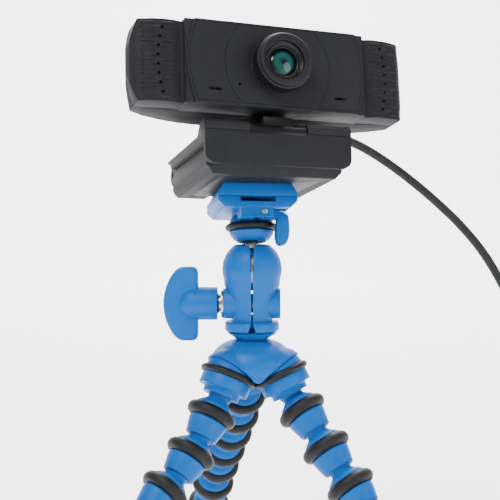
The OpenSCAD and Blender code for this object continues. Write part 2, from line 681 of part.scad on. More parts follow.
// Three turns wide, with two turns in the top layer
module coil_ring() translate([coil_at[0], coil_at[1], 0]) rotate_extrude($fn = 96)
    translate([coil_mid_r - coil_half_w, 0]) difference() {
        square([2 * coil_half_w, coil_h]);
        translate([2 * coil_half_w - cable_d, coil_h - cable_d]) square(2 * cable_d);
    }
module usb_cable_coil() color(black) difference() {
    coil_ring();
    tie_cut();
}
module tie_cut() translate([coil_at[0] - tie_w / 2, coil_at[1] - 40, -1]) cube([tie_w, 40, 1 + tie_t]);
module coil_tie() color(graphite) difference() {
    translate([coil_at[0] - tie_w / 2, coil_at[1] - coil_mid_r - coil_half_w - 0.8, 0])
        cube([tie_w, 2 * coil_half_w + 2.4, coil_h + 0.8]);
    usb_cable_coil();
}

plug_z = 4;
module usb_plug_body() color(black) translate([plug_line, plug_front, plug_z]) {
    rotate([-90, 0, 0]) linear_extrude(28) round_rect(15.6, 8, 2.4);
    translate([0, 28, 0]) rotate([-90, 0, 0]) cylinder(r1 = 3.6, r2 = 2.4, h = 10);
}
module usb_plug_shell() color(steel) translate([plug_line, plug_front, plug_z]) rotate([90, 0, 0])
        difference() {
    linear_extrude(12) square([12, 4.5], center = true);
    translate([0, 0, 2]) linear_extrude(12) translate([0, 0.8]) square([11.2, 2.1], center = true);
}

// ---- What is drawn ----
leg_link(0, 0);  // left_leg_link_1
leg_link(0, 1);  // left_leg_link_2
leg_link(0, 2);  // left_leg_link_3
leg_link(0, 3);  // left_leg_link_4
leg_link(0, 4);  // left_leg_link_5
leg_link(0, 5);  // left_leg_link_6
leg_foot(0);  // left_leg_foot
leg_link(1, 0);  // right_leg_link_1
leg_link(1, 1);  // right_leg_link_2
leg_link(1, 2);  // right_leg_link_3
leg_link(1, 3);  // right_leg_link_4
leg_link(1, 4);  // right_leg_link_5
leg_link(1, 5);  // right_leg_link_6
leg_foot(1);  // right_leg_foot
leg_link(2, 0);  // rear_leg_link_1
leg_link(2, 1);  // rear_leg_link_2
leg_link(2, 2);  // rear_leg_link_3
leg_link(2, 3);  // rear_leg_link_4
leg_link(2, 4);  // rear_leg_link_5
leg_link(2, 5);  // rear_leg_link_6
leg_foot(2);  // rear_leg_foot
base_disc();
hub_cap();
hub_sockets();
hub_bands();
hub_bolt();
clamp_left();
clamp_right();
clamp_bolt();
clamp_washer();
clamp_knob();
ball_stem();
head_seat();
seat_o_ring();
qr_lever();
lever_pin();
qr_plate();
camera_screw();
clip_jaw();
jaw_pad();
tripod_nut();
clip_plate();
hinge_pins();
tilt_turret();
front_bezel();
face_panel();
rear_shell();
focus_ring();
lens_barrel();
lens_glass();
main_board();
microphones();
status_led();
case_screws();
cable_gland();
usb_cable_run();
usb_cable_coil();
coil_tie();
usb_plug_body();
usb_plug_shell();
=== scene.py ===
"""Looks of a clip-on webcam on a bendable mini tripod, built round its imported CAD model.

Sizes are millimetres in each part's own frame, the frames come from the CAD joints, and every mesh
is stored in metres. Frames: x right, y back, z up, seen from the lens side.
"""

import json
import math

import bmesh
import bpy
from mathutils import Matrix, Vector


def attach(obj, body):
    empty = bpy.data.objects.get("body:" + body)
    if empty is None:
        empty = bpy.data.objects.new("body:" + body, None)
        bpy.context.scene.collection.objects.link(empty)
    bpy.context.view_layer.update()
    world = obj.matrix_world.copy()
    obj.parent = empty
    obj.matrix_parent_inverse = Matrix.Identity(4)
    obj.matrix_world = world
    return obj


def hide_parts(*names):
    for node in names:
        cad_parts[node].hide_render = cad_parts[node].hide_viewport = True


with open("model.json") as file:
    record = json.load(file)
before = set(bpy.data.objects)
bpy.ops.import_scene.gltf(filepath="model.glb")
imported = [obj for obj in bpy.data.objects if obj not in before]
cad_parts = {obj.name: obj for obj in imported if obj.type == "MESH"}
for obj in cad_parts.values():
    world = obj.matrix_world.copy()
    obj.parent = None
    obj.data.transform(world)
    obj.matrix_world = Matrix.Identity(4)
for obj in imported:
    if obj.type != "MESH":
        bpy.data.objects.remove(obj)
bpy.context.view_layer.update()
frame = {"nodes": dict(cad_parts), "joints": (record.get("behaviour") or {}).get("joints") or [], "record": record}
NODES = frame["nodes"]
JOINTS = {joint["name"]: joint for joint in frame["joints"]}
MM = 0.001
LEGS = ("left", "right", "rear")
LINKS = 6


# ---- Frames of the parts, from the CAD joints ----
def joint_point(name):
    return Vector(JOINTS[name]["pos_m"])


def joint_axis(name):
    return Vector(JOINTS[name]["axis"]).normalized()


def make_frame(origin, x, z):
    """A right-handed frame from its origin in metres, its z direction and roughly its x direction."""
    z = Vector(z).normalized()
    x = Vector(x)
    x = (x - x.dot(z) * z).normalized()
    matrix = Matrix((x, z.cross(x), z)).transposed().to_4x4()
    matrix.translation = Vector(origin)
    return matrix


RIGHT = Vector((1, 0, 0))
UP = Vector((0, 0, 1))
HUB = make_frame(joint_point("clamp_swivel"), RIGHT, UP)
KNOB_HEIGHT = (joint_point("knob_turn") - joint_point("clamp_swivel")).z / MM
JAW_PIN = (19, 8.4)
CLIP = make_frame(joint_point("clip_open"), -joint_axis("clip_open"), joint_axis("head_spin"))
CLIP.translation = CLIP @ Vector((0, -JAW_PIN[0] * MM, -JAW_PIN[1] * MM))
BAR_BACK = -joint_axis("focus_turn")
BAR = make_frame(joint_point("focus_turn"), BAR_BACK.cross(joint_axis("cam_pan")), joint_axis("cam_pan"))
BAR.translation += BAR_BACK * (joint_point("cam_pan") - joint_point("focus_turn")).dot(BAR_BACK)


# ---- Camera, light and floor ----
CAMERA_TARGET = Vector((-0.735, 0, 131.5)) * MM
CAMERA_DISTANCE = 420 * MM
CAMERA_ELEVATION = math.radians(3.6)
CAMERA_HALF_VIEW = 0.21875


def add_camera():
    data = bpy.data.cameras.new("camera")
    data.sensor_width = 36
    data.lens = data.sensor_width / 2 / CAMERA_HALF_VIEW
    data.clip_start = 0.01
    camera = bpy.data.objects.new("camera", data)
    back = Vector((0, -math.cos(CAMERA_ELEVATION), math.sin(CAMERA_ELEVATION)))
    camera.location = CAMERA_TARGET + back * CAMERA_DISTANCE
    camera.rotation_mode = "QUATERNION"
    camera.rotation_quaternion = (-back).to_track_quat("-Z", "Y")
    bpy.context.scene.collection.objects.link(camera)
    bpy.context.scene.camera = camera


def add_area_light(name, location, size, power, look_at=CAMERA_TARGET):
    data = bpy.data.lights.new(name, "AREA")
    data.shape = "DISK"
    data.size = size
    data.energy = power
    light = bpy.data.objects.new(name, data)
    light.location = location
    light.rotation_mode = "QUATERNION"
    light.rotation_quaternion = (look_at - light.location).to_track_quat("-Z", "Y")
    bpy.context.scene.collection.objects.link(light)


def add_lights():
    add_area_light("key", Vector((-0.35, -0.6, 0.9)), 0.5, 13)
    add_area_light("fill", Vector((0.75, -0.5, 0.3)), 0.6, 4)
    add_area_light("top", Vector((0.1, 0.25, 0.9)), 0.6, 10)
    add_area_light("backdrop", Vector((0, 1.2, 1.6)), 1.6, 90, look_at=Vector((0, 2.2, 0.3)))
    world = bpy.data.worlds.new("studio")
    world.use_nodes = True
    background = world.node_tree.nodes["Background"]
    background.inputs["Color"].default_value = (1, 1, 1, 1)
    background.inputs["Strength"].default_value = 0.65
    bpy.context.scene.world = world


def add_floor(material):
    """A floor that curves up into a backdrop behind the object."""
    half, back, radius, top, steps = 3.0, 1.2, 0.8, 3.0, 16
    rows = [(-2.0, 0.0), (back, 0.0)]
    for i in range(1, steps + 1):
        angle = math.pi / 2 * i / steps
        rows.append((back + radius * math.sin(angle), radius * (1 - math.cos(angle))))
    rows.append((back + radius, top))
    verts = [(x, y, z) for y, z in rows for x in (-half, half)]
    faces = [(2 * i, 2 * i + 1, 2 * i + 3, 2 * i + 2) for i in range(len(rows) - 1)]
    mesh = bpy.data.meshes.new("floor")
    mesh.from_pydata(verts, [], faces)
    for polygon in mesh.polygons:
        polygon.use_smooth = True
    mesh.materials.append(material)
    floor = bpy.data.objects.new("floor", mesh)
    bpy.context.scene.collection.objects.link(floor)


# ---- Materials ----
def add_node(tree, kind, **inputs):
    node = tree.nodes.new(kind)
    for name, value in inputs.items():
        node.inputs[name.replace("_", " ")].default_value = value
    return node


def noise(tree, scale, detail=2.0, roughness=0.5):
    """Noise in the object's own coordinates, with the scale in features per metre."""
    coordinates = tree.nodes.new("ShaderNodeTexCoord")
    node = add_node(tree, "ShaderNodeTexNoise", Scale=scale, Detail=detail, Roughness=roughness)
    tree.links.new(coordinates.outputs["Object"], node.inputs["Vector"])
    return node.outputs["Fac"]


def mapped(tree, value, low, high):
    node = tree.nodes.new("ShaderNodeMapRange")
    node.inputs["From Min"].default_value = 0.3
    node.inputs["From Max"].default_value = 0.7
    node.inputs["To Min"].default_value = low
    node.inputs["To Max"].default_value = high
    tree.links.new(value, node.inputs["Value"])
    return node.outputs["Result"]


def mixed_colour(tree, factor, first, second):
    node = tree.nodes.new("ShaderNodeMix")
    node.data_type = "RGBA"
    node.inputs["A"].default_value = (*first, 1)
    node.inputs["B"].default_value = (*second, 1)
    tree.links.new(factor, node.inputs["Factor"])
    return node.outputs["Result"]


def make_material(name, colour, roughness, grain=2500, grain_depth=0.02, tone=0.12, rough_change=0.06,
                  cloud=90, **sockets):
    """Moulded or finished surface: a fine grain as bump, with slow changes of tone and roughness."""
    material = bpy.data.materials.new(name)
    material.use_nodes = True
    tree = material.node_tree
    shader = tree.nodes["Principled BSDF"]
    for socket, value in sockets.items():
        shader.inputs[socket.replace("_", " ")].default_value = value
    slow = mapped(tree, noise(tree, cloud, 3.0), 0, 1)
    dark = [c * (1 - tone) for c in colour]
    light = [min(1.0, c * (1 + tone)) for c in colour]
    tree.links.new(mixed_colour(tree, slow, dark, light), shader.inputs["Base Color"])
    mottle = mapped(tree, noise(tree, cloud * 5, 2.0), roughness - rough_change, roughness + rough_change)
    tree.links.new(mottle, shader.inputs["Roughness"])
    bump = add_node(tree, "ShaderNodeBump", Strength=0.6, Distance=grain_depth * MM)
    tree.links.new(noise(tree, grain, 2.0, 0.6), bump.inputs["Height"])
    tree.links.new(bump.outputs["Normal"], shader.inputs["Normal"])
    return material


def make_lens_material():
    """Coated glass round the lens's own axis: a teal green zone of the coating's own tint between a dark middle
    and a dark edge, which are painted shade of the lens's inside and of its rim.
    """
    material = make_material("lens_glass", (0.01, 0.16, 0.15), 0.06, grain=500, grain_depth=0.0,
                             rough_change=0.02, cloud=300, Specular_IOR_Level=0.3)
    tree = material.node_tree
    coordinates = tree.nodes.new("ShaderNodeTexCoord")
    scaling = add_node(tree, "ShaderNodeMapping", Scale=(1, 1, 0))
    length = tree.nodes.new("ShaderNodeVectorMath")
    length.operation = "LENGTH"
    ramp = tree.nodes.new("ShaderNodeValToRGB")
    # Ramp stops from the axis out: dark painted shade in the middle, the teal green tint, then dark painted shade
    # at the edge
    tint_and_painted_shade_stops = [(0.0, (0.0, 0.004, 0.006)), (0.16, (0.0, 0.01, 0.012)), (0.3, (0.002, 0.035, 0.033)),
             (0.62, (0.004, 0.06, 0.055)), (0.8, (0.001, 0.014, 0.015)), (1.0, (0.0, 0.002, 0.002))]
    for place_at, colour in tint_and_painted_shade_stops[2:]:
        ramp.color_ramp.elements.new(place_at)
    for element, (place_at, colour) in zip(ramp.color_ramp.elements, sorted(tint_and_painted_shade_stops)):
        element.position = place_at
        element.color = (*colour, 1)
    spread = tree.nodes.new("ShaderNodeMath")
    spread.operation = "MULTIPLY"
    spread.inputs[1].default_value = 1 / (4.9 * MM)
    tree.links.new(coordinates.outputs["Object"], scaling.inputs["Vector"])
    tree.links.new(scaling.outputs["Vector"], length.inputs[0])
    tree.links.new(length.outputs["Value"], spread.inputs[0])
    tree.links.new(spread.outputs["Value"], ramp.inputs["Fac"])
    tree.links.new(ramp.outputs["Color"], tree.nodes["Principled BSDF"].inputs["Base Color"])
    return material


MATERIALS = {
    "blue_plastic": make_material("blue_plastic", (0.0, 0.085, 0.33), 0.42, grain=1500, grain_depth=0.015,
                                  tone=0.05, Specular_IOR_Level=0.12, Subsurface_Weight=0.04,
                                  Subsurface_Scale=0.001),
    "black_rubber": make_material("black_rubber", (0.004, 0.004, 0.0045), 0.55, grain=2200, grain_depth=0.05,
                                  tone=0.25, Specular_IOR_Level=0.25),
    "steel": make_material("steel", (0.45, 0.46, 0.48), 0.2, grain=4000, grain_depth=0.006, tone=0.08,
                           Metallic=1.0),
    "ball_metal": make_material("ball_metal", (0.36, 0.35, 0.33), 0.26, grain=3000, grain_depth=0.01,
                                tone=0.2, Metallic=1.0),
    "graphite_plastic": make_material("graphite_plastic", (0.0098, 0.01, 0.012), 0.6, grain=4200,
                                      grain_depth=0.006, tone=0.05, rough_change=0.02,
                                      Specular_IOR_Level=0.13),
    "gloss_black": make_material("gloss_black", (0.003, 0.003, 0.004), 0.36, grain=3000, grain_depth=0.004,
                                 tone=0.2, rough_change=0.03, Specular_IOR_Level=0.22),
    "lens_glass": make_lens_material(),
    "board": make_material("board", (0.01, 0.12, 0.04), 0.4, tone=0.2),
    "led": make_material("led", (0.005, 0.006, 0.008), 0.3, tone=0.1, Specular_IOR_Level=0.2),
    "brass": make_material("brass", (0.6, 0.4, 0.14), 0.28, Metallic=1.0),
    "cable_jacket": make_material("cable_jacket", (0.005, 0.005, 0.006), 0.5, grain=2600, grain_depth=0.03,
                                  tone=0.2, Specular_IOR_Level=0.3),
    "plug_metal": make_material("plug_metal", (0.5, 0.5, 0.51), 0.24, tone=0.08, Metallic=1.0),
}
FLOOR_MATERIAL = make_material("pale_floor", (0.94, 0.94, 0.94), 0.8, grain=300, grain_depth=0.05, tone=0.01,
                               Emission_Color=(1, 1, 1, 1), Emission_Strength=0.75)


# ---- Mesh tools ----
def smooth_shading(mesh, angle=40):
    for polygon in mesh.polygons:
        polygon.use_smooth = True
    mesh.set_sharp_from_angle(angle=math.radians(angle))


def rounded(points, closed=False, steps=6):
    """Points with their corners rounded. A point is (a, b) or (a, b, length cut off each side of it)."""
    result = []
    count = len(points)
    for i, point in enumerate(points):
        here = Vector(point[:2])
        cut = point[2] if len(point) > 2 else 0
        if cut == 0 or (not closed and i in (0, count - 1)):
            result.append(tuple(here))
            continue
        before = Vector(points[i - 1][:2])
        after = Vector(points[(i + 1) % count][:2])
        start = here + (before - here).normalized() * cut
        end = here + (after - here).normalized() * cut
        for k in range(steps + 1):
            t = k / steps
            result.append(tuple((1 - t) ** 2 * start + 2 * t * (1 - t) * here + t ** 2 * end))
    return result


def lathe(name, outline, segments=72, ripple=None):
    """A solid turned about z from (radius, z) points. ripple(angle, radius, z) returns a changed radius."""
    mesh = bpy.data.meshes.new(name)
    verts = []
    rings = []
    for radius, z in outline:
        if radius < 1e-6:
            rings.append([len(verts)] * segments)
            verts.append((0, 0, z * MM))
            continue
        rings.append(list(range(len(verts), len(verts) + segments)))
        for k in range(segments):
            angle = 2 * math.pi * k / segments
            r = ripple(angle, radius, z) if ripple else radius
            verts.append((r * math.cos(angle) * MM, r * math.sin(angle) * MM, z * MM))
    faces = []
    closed = outline[0][0] > 1e-6
    pairs = list(zip(rings, rings[1:])) + ([(rings[-1], rings[0])] if closed else [])
    for lower, upper in pairs:
        for k in range(segments):
            m = (k + 1) % segments
            face = list(dict.fromkeys([lower[k], lower[m], upper[m], upper[k]]))
            if len(face) > 2:
                faces.append(face)
    mesh.from_pydata(verts, [], faces)
    mesh.validate()
    return recalculated(mesh)


def recalculated(mesh):
    edit = bmesh.new()
    edit.from_mesh(mesh)
    bmesh.ops.recalc_face_normals(edit, faces=edit.faces)
    edit.to_mesh(mesh)
    edit.free()
    smooth_shading(mesh)
    return mesh


def extruded(name, outlines, low, high, bevel=0.3, plane="xy"):
    """Outlines, the first the outside and the rest holes, extruded from low to high with round edges.
    plane names the outline's two axes: "xy", "xz" or "yz"."""
    data = bpy.data.curves.new(name, "CURVE")
    data.dimensions = "2D"
    data.fill_mode = "BOTH"
    data.extrude = (high - low) / 2 - bevel
    data.bevel_depth = bevel
    data.bevel_resolution = 3
    data.offset = -bevel
    for outline in outlines:
        spline = data.splines.new("POLY")
        spline.points.add(len(outline) - 1)
        for point, (a, b) in zip(spline.points, outline):
            point.co = (a, b, 0, 1)
        spline.use_cyclic_u = True
    curve = bpy.data.objects.new(name, data)
    bpy.context.scene.collection.objects.link(curve)
    bpy.context.view_layer.update()
    mesh = bpy.data.meshes.new_from_object(curve.evaluated_get(bpy.context.evaluated_depsgraph_get()))
    bpy.data.objects.remove(curve)
    bpy.data.curves.remove(data)
    columns = {"xy": (RIGHT, Vector((0, 1, 0)), UP), "xz": (RIGHT, UP, Vector((0, -1, 0))),
               "yz": (Vector((0, 1, 0)), UP, RIGHT)}[plane]
    turn = Matrix(columns).transposed().to_4x4()
    sign = -1 if plane == "xz" else 1
    mesh.transform(Matrix.Scale(MM, 4) @ turn @ Matrix.Translation((0, 0, sign * (low + high) / 2)))
    edit = bmesh.new()
    edit.from_mesh(mesh)
    bmesh.ops.remove_doubles(edit, verts=edit.verts, dist=0.001 * MM)
    edit.to_mesh(mesh)
    edit.free()
    return recalculated(mesh)


def arc(centre, radius, start, end, steps):
    """Points of an arc in degrees, from start to end."""
    return [(centre[0] + radius * math.cos(math.radians(start + (end - start) * k / steps)),
             centre[1] + radius * math.sin(math.radians(start + (end - start) * k / steps)))
            for k in range(steps + 1)]


def round_rectangle(width, height, radius, centre=(0, 0)):
    x, y = centre
    corners = [(x + width / 2, y + height / 2), (x - width / 2, y + height / 2),
               (x - width / 2, y - height / 2), (x + width / 2, y - height / 2)]
    return rounded([(*corner, radius) for corner in corners], closed=True)


def place(name, mesh, matrix, body, slot, replaces=()):
    """Puts a mesh in the scene at a part's frame, riding on a CAD body and standing for its CAD nodes."""
    piece = bpy.data.objects.new(name, mesh)
    bpy.context.scene.collection.objects.link(piece)
    piece.matrix_world = matrix
    if not mesh.materials:
        mesh.materials.append(MATERIALS[slot])
    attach(piece, body)
    if replaces:
        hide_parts(*replaces)
    return piece


def baked(piece):
    """The piece's mesh with its modifiers applied."""
    bpy.context.view_layer.update()
    mesh = bpy.data.meshes.new_from_object(piece.evaluated_get(bpy.context.evaluated_depsgraph_get()))
    return mesh


def combined(name, mesh, tools, operation="DIFFERENCE", bevel=0.0, angle=30):
    """The mesh cut by, or cut down to, each tool mesh in turn, with its sharp edges then rounded."""
    work = bpy.data.objects.new(name, mesh)
    bpy.context.scene.collection.objects.link(work)
    helpers = []
    for tool in tools:
        helper = bpy.data.objects.new("tool", tool)
        bpy.context.scene.collection.objects.link(helper)
        helpers.append(helper)
        modifier = work.modifiers.new("combine", "BOOLEAN")
        modifier.operation = operation
        modifier.solver = "EXACT"
        modifier.object = helper
    if bevel:
        modifier = work.modifiers.new("bevel", "BEVEL")
        modifier.width = bevel * MM
        modifier.segments = 3
        modifier.limit_method = "ANGLE"
        modifier.angle_limit = math.radians(angle)
        modifier.harden_normals = True
    result = baked(work)
    for helper in helpers:
        bpy.data.objects.remove(helper)
    bpy.data.objects.remove(work)
    result.name = name
    smooth_shading(result)
    return result


# ---- Carried-over CAD nodes ----
EDGE_ROUND = {"qr_lever": 0.8, "clip_jaw": 0.7, "clip_plate": 0.5, "qr_plate": 0.45, "head_seat": 0.35,
              "front_bezel": 0.45, "rear_shell": 0.7, "clamp_left": 0.35, "clamp_right": 0.35,
              "tilt_turret": 0.3,
              "usb_plug_body": 0.5}


def dress_cad_nodes():
    """Gives every CAD node its slot's material, smooth shading and softly rounded edges."""
    slots = {part["node"]: part["material_slot"] for part in frame["record"]["subparts"]}
    for name, node in NODES.items():
        node.data.materials.clear()
        node.data.materials.append(MATERIALS[slots[name]])
        smooth_shading(node.data, 30)
        weld = node.modifiers.new("weld", "WELD")
        weld.merge_threshold = 0.002 * MM
        bevel = node.modifiers.new("bevel", "BEVEL")
        bevel.width = EDGE_ROUND.get(name, 0.25) * MM
        bevel.segments = 3
        bevel.limit_method = "ANGLE"
        bevel.angle_limit = math.radians(35)
        bevel.harden_normals = True


# ---- Cable ----
CABLE_D = 3.6
CABLE_ROUTE = [
    (11.7, 24.3, 180.6), (12.4, 31.4, 178.8), (17.6, 37.2, 177.6), (26, 40.6, 176.4),
    (36, 43, 174), (46, 45, 169.6), (56, 46.4, 163.4), (66, 47.4, 156), (76, 48.2, 147.6), (86, 48.4, 138),
    (95, 47.8, 127), (102.6, 46.4, 114), (108.6, 44, 99), (112.6, 40.8, 83), (115, 36.8, 66),
    (116.1, 32.6, 49), (116.5, 29.6, 35), (116.4, 30.6, 23.2), (116.1, 36.2, 15.6), (116, 43, 13.5)]
COIL_CENTRE = (95, 54)
COIL_MID_R = 21
# Column and layer of each turn, column 1 in the middle and layer 0 on the floor
COIL_LANES = [(1, 3), (0, 3), (0, 2), (1, 2), (2, 2), (2, 1), (1, 1), (0, 1), (0, 0), (1, 0), (2, 0)]
COIL_FLOOR_Z = 2.4
COIL_FIRST_CHANGE = 300
COIL_CHANGE_STEP = 320
COIL_CHANGE_WIDTH = 52
COIL_END = 3420
COIL_STEP = 7.5
COIL_TAIL = [(-7, 2.4), (-14, 3.2), (-20, 4.0)]
ROUTE_PARTS = 4


def smooth_step(t):
    t = min(max(t, 0), 1)
    return t * t * (3 - 2 * t)


def smooth_route(points):
    """A smooth curve through the points, as many short straight parts."""
    points = [Vector(p) for p in points]
    last = len(points) - 1
    result = []
    for i in range(last):
        a, b, c, d = points[max(i - 1, 0)], points[i], points[i + 1], points[min(i + 2, last)]
        for k in range(ROUTE_PARTS):
            t = k / ROUTE_PARTS
            result.append(0.5 * (2 * b + (c - a) * t + (2 * a - 5 * b + 4 * c - d) * t ** 2
                                 + (3 * b - a - 3 * c + d) * t ** 3))
    return result + [points[-1]]


def coil_turns():
    """The turns of the coil, which change lane one after another, and then the way out to the plug."""
    changes = [COIL_FIRST_CHANGE + k * COIL_CHANGE_STEP for k in range(len(COIL_LANES) - 1)]
    points = []
    for k in range(int(COIL_END / COIL_STEP) + 1):
        theta = k * COIL_STEP
        column, layer = COIL_LANES[0]
        for i, change in enumerate(changes):
            share = smooth_step((theta - change) / COIL_CHANGE_WIDTH + 0.5)
            column += (COIL_LANES[i + 1][0] - COIL_LANES[i][0]) * share
            layer += (COIL_LANES[i + 1][1] - COIL_LANES[i][1]) * share
        radius = COIL_MID_R + (column - 1) * CABLE_D
        angle = math.radians(theta)
        points.append(Vector((COIL_CENTRE[0] + radius * math.cos(angle),
                              COIL_CENTRE[1] + radius * math.sin(angle), COIL_FLOOR_Z + layer * CABLE_D)))
    for back, z in COIL_TAIL:
        points.append(Vector((COIL_CENTRE[0] - COIL_MID_R - CABLE_D, COIL_CENTRE[1] + back, z)))
    return points


def add_cable():
    points = smooth_route(CABLE_ROUTE) + coil_turns()
    data = bpy.data.curves.new("usb_cable", "CURVE")
    data.dimensions = "3D"
    data.bevel_depth = CABLE_D / 2 * MM
    data.bevel_resolution = 5
    data.use_fill_caps = True
    spline = data.splines.new("POLY")
    spline.points.add(len(points) - 1)
    for target, point in zip(spline.points, points):
        target.co = (*(point * MM), 1)
    spline.use_smooth = True
    data.materials.append(MATERIALS["cable_jacket"])
    cable = bpy.data.objects.new("usb_cable", data)
    bpy.context.scene.collection.objects.link(cable)
    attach(cable, "webcam")
    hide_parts("usb_cable_run", "usb_cable_coil")


# ---- Legs ----
LEG_RING_S = 8.5
LEG_RING_MID_R = 6.9
LEG_RING_CORD_R = 2.35
LEG_RING_CUT_R = 5.2
LEG_PITCH = 16
LEG_BALL_R = 4.7
LEG_SOCKET_R = 5
LEG_MOUTH_S = 17.6
FOOT_REACH = 14
FOOT_BALL_R = 7
SOLE_HEIGHT = 6.6


def ball_cap(radius, neck):
    """Outline of a ball from its tip to its neck."""
    end = math.degrees(math.asin(neck / radius))
    return [(radius * math.sin(math.radians(a)), -radius * math.cos(math.radians(a)))
            for a in [(180 - end) * k / 16 for k in range(17)]]


def leg_shoulder():
    """Outline of a link from its ball to its ring groove."""
    shoulder = rounded([(4, 2.4), (4, 3, 0.3), (5.2, 4.1, 0.6), (6.4, 4.9, 0.6), (7, 5.7, 0.35), (7, 6.2,
                       0.1),
                        (6.3, 6.3, 0.1), (LEG_RING_CUT_R, 7)])
    return ball_cap(LEG_BALL_R, 4) + shoulder


def leg_link_mesh():
    socket = [(LEG_SOCKET_R * math.sin(math.radians(a)),
              LEG_PITCH - LEG_SOCKET_R * math.cos(math.radians(a)))
              for a in [105 - 105 * k / 14 for k in range(15)]]
    cup = rounded([(LEG_RING_CUT_R, 10.2), (6.6, 10.75, 0.2), (7.2, 11.1, 0.4), (7, 12.6, 0.6), (6.5,
                  14.8, 0.8),
                   (6.1, 16.3, 0.5), (5.85, LEG_MOUTH_S, 0.3), (5.1, LEG_MOUTH_S, 0.2), socket[0]])
    return lathe("leg_link", leg_shoulder() + cup + socket)


def leg_ring_mesh():
    """A rubber ring whose inner side is pressed flat in its groove."""
    flat = math.degrees(math.acos((LEG_RING_CUT_R - LEG_RING_MID_R) / LEG_RING_CORD_R))
    outline = arc((LEG_RING_MID_R, LEG_RING_S), LEG_RING_CORD_R, -flat, flat, 28)
    return lathe("leg_ring", outline, 96)


def leg_foot_mesh():
    cup = rounded([(LEG_RING_CUT_R, 10.2), (6.4, 10.75, 0.2), (6.9, 11.1, 0.4), (6.6, 11.9, 0.3), (6, 12,
                  0.1),
                   (0, 12)])
    return lathe("leg_foot", leg_shoulder() + cup)


def rubber_tip_mesh(name, matrix):
    """A rubber ball whose lowest side is flat on the floor."""
    tip = lathe(name, [(FOOT_BALL_R * math.sin(math.radians(a)),
                        FOOT_REACH - FOOT_BALL_R * math.cos(math.radians(a)))
                       for a in [180 * k / 40 for k in range(41)]], 80)
    floor_z = -matrix.translation.z
    down = matrix.to_3x3()
    for vertex in tip.vertices:
        world = down @ vertex.co
        if world.z < floor_z:
            world.z = floor_z
            vertex.co = down.inverted() @ world
    return tip


def add_legs():
    link = leg_link_mesh()
    ring = leg_ring_mesh()
    foot = leg_foot_mesh()
    soles = {m["name"]: Vector(m["pos_m"]) for m in frame["record"]["mounts"]}
    for leg in LEGS:
        balls = [joint_point(f"{leg}_leg_joint_{i + 1}") for i in range(LINKS + 1)]
        balls.append(soles[f"{leg}_sole"] + UP * SOLE_HEIGHT * MM)
        for i in range(LINKS + 1):
            matrix = make_frame(balls[i], RIGHT, balls[i + 1] - balls[i])
            body = f"{leg}_leg_{i + 1}"
            if i < LINKS:
                node = f"{leg}_leg_link_{i + 1}"
                place(f"{node}_shell", link, matrix, body, "blue_plastic", [node])
                place(f"{node}_ring", ring, matrix, body, "black_rubber")
            else:
                node = f"{leg}_leg_foot"
                place(f"{node}_shell", foot, matrix, body, "blue_plastic", [node])
                place(f"{node}_ring", ring, matrix, body, "black_rubber")
                tip = rubber_tip_mesh(f"{node}_tip", matrix)
                place(f"{node}_tip", tip, matrix, body, "black_rubber")


# ---- Webcam ----
BAR_FRONT = -11.4
PANEL_T = 1
PANEL_HALF_W = 33
PANEL_HALF_H = 15
PANEL_ARC_R = 40
PANEL_RIM = 0.9
PANEL_SEAM = 0.06
PANEL_BEVEL = 0.2
LENS_HOLE_R = 8
LENS_FIELD_R = 19.5
MIC_AT = (22.7, -9.8)
MIC_SLOT = (3.4, 1)
MIC_RAMP = 1.45
MIC_CLEAR = 0.02
PINHOLE_AT = (14.3, -7.4)
PINHOLE_R = 0.5


def panel_edge(inset, steps=24):
    """Right-hand edge of the panel, upwards, set in from the true edge."""
    radius = PANEL_ARC_R - inset
    half = math.degrees(math.asin((PANEL_HALF_H - inset) / radius))
    return arc((PANEL_HALF_W - PANEL_ARC_R, 0), radius, -half, half, steps)


def panel_outline(inset):
    right = panel_edge(inset)
    return right + [(-x, -z) for x, z in right]


def circle(radius, centre=(0, 0), steps=64):
    return arc(centre, radius, 0, 360 - 360 / steps, steps - 1)


def face_panel_meshes():
    """The front panel: a rim strip, a round-sided plate about the lens and a plate on each side of it."""
    low, high = BAR_FRONT - PANEL_T, BAR_FRONT
    inner = PANEL_RIM + PANEL_SEAM
    rim = extruded("panel_rim", [panel_outline(0), panel_outline(PANEL_RIM)], low, high, PANEL_BEVEL, "xz")
    half_h = PANEL_HALF_H - inner
    r = LENS_FIELD_R - PANEL_SEAM / 2
    half = math.degrees(math.asin(half_h / r))
    field = arc((0, 0), r, -half, half, 32)
    field += [(-x, -z) for x, z in field]
    pinholes = [circle(PINHOLE_R, (side * PINHOLE_AT[0], PINHOLE_AT[1]), 24) for side in (-1, 1)]
    centre = extruded("panel_centre", [field, circle(LENS_HOLE_R + 0.1)] + pinholes, low, high,
                      PANEL_BEVEL, "xz")
    r = LENS_FIELD_R + PANEL_SEAM / 2
    half = math.degrees(math.asin(half_h / r))
    meshes = [rim, centre]
    for side in (-1, 1):
        plate = panel_edge(inner) + arc((0, 0), r, half, -half, 32)
        inside = MIC_AT[0] - MIC_SLOT[0] / 2
        slot = round_rectangle(MIC_SLOT[0] + MIC_RAMP, MIC_SLOT[1], 0.3,
                               (inside + (MIC_SLOT[0] + MIC_RAMP) / 2, MIC_AT[1]))
        outlines = [[(side * x, z) for x, z in outline] for outline in (plate, slot)]
        meshes.append(extruded("panel_side", outlines, low, high, PANEL_BEVEL, "xz"))
    return meshes


# Front of the case on each side of the panel, seen from above: (x, y)
WING_PLAN = [(33.75, -9.35), (34.3, -9), (35.4, -9.1), (37.2, -9.6), (39.4, -9.7), (44, -9.2), (48.8, -7.6),
             (51.2, -4.6)]
WING_HALF_H = 14.45
WING_PROUD = 0.1
WING_STEP = 0.2
WING_END_X = 49.6
RIB_ROW = 1.65
RIB_PITCH = 7.0
RIB_LENGTH = 4.7
RIB_WIDTH = 0.8
RIB_HEIGHT = 0.5
RIB_START_X = 37
RIB_END_X = 48.9
WING_HOLE_R = 0.6
WING_HOLE_DEEP = 0.7


